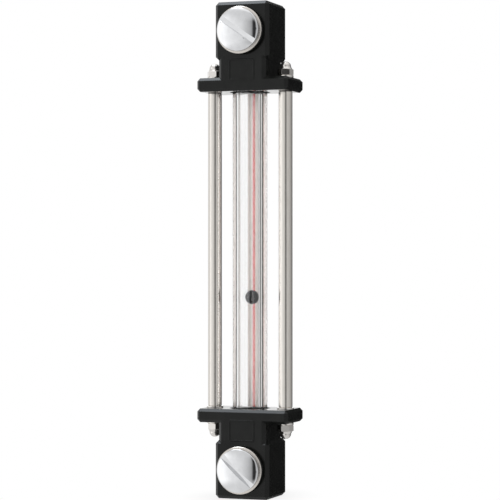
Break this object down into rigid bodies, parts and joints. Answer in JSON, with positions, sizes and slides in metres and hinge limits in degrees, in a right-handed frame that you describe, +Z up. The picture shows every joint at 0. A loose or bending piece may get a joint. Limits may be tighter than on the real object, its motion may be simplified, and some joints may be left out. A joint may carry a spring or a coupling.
{
  "type": "oil level gauge",
  "caption": "Column oil level gauge: clear sight tube with float ball and red line between two moulded heads on hollow bolts, with guard rods and cap nuts.",
  "frame": {"origin": "on the lower hollow bolt's axis, in the plane where the rear packings meet the tank", "axes": "+X to the right seen from the front, +Y along the bolts into the tank, +Z up from the lower bolt to the upper one"},
  "size_m": [0.055, 0.0591, 0.2836],
  "materials": {
    "black_nylon": "semi-gloss moulded",
    "clear_glass": "clear polished",
    "white_enamel": "fused white",
    "red_enamel": "fused red",
    "float_plastic": "satin",
    "stainless_rod": "drawn bright bar",
    "stainless_fastener": "bright turned",
    "chromed_bolt": "polished plating",
    "plated_washer": "satin plating",
    "black_rubber": "matt"
  },
  "bodies": {
    "gauge": {"left_rod": "stainless_rod", "left_rod_seat": "stainless_rod", "lower_bolt_washer": "plated_washer", "lower_front_packing": "black_rubber", "lower_head": "black_nylon", "lower_left_cap_nut": "stainless_fastener", "lower_left_washer": "stainless_fastener", "lower_rear_packing": "black_rubber", "lower_right_cap_nut": "stainless_fastener", "lower_right_washer": "stainless_fastener", "lower_tube_seal": "black_rubber", "red_line": "red_enamel", "right_rod": "stainless_rod", "right_rod_seat": "stainless_rod", "sight_tube": "clear_glass", "upper_bolt_washer": "plated_washer", "upper_front_packing": "black_rubber", "upper_head": "black_nylon", "upper_left_cap_nut": "stainless_fastener", "upper_left_washer": "stainless_fastener", "upper_rear_packing": "black_rubber", "upper_right_cap_nut": "stainless_fastener", "upper_right_washer": "stainless_fastener", "upper_tube_seal": "black_rubber", "white_band": "white_enamel"},
    "upper_bolt": {"upper_bolt": "chromed_bolt"},
    "lower_bolt": {"lower_bolt": "chromed_bolt"},
    "float": {"float_ball": "float_plastic"}
  },
  "joints": [
    {"name": "float_travel", "type": "slide", "parent": "gauge", "child": "float", "axis": [0, 0, 1], "range_m": [-0.0761, 0.1301]},
    {"name": "upper_bolt_turn", "type": "hinge", "parent": "gauge", "child": "upper_bolt", "pos_m": [0, 0, 0.25], "axis": [0, 1, 0], "continuous": true},
    {"name": "lower_bolt_turn", "type": "hinge", "parent": "gauge", "child": "lower_bolt", "pos_m": [0, 0, 0], "axis": [0, 1, 0], "continuous": true}
  ]
}
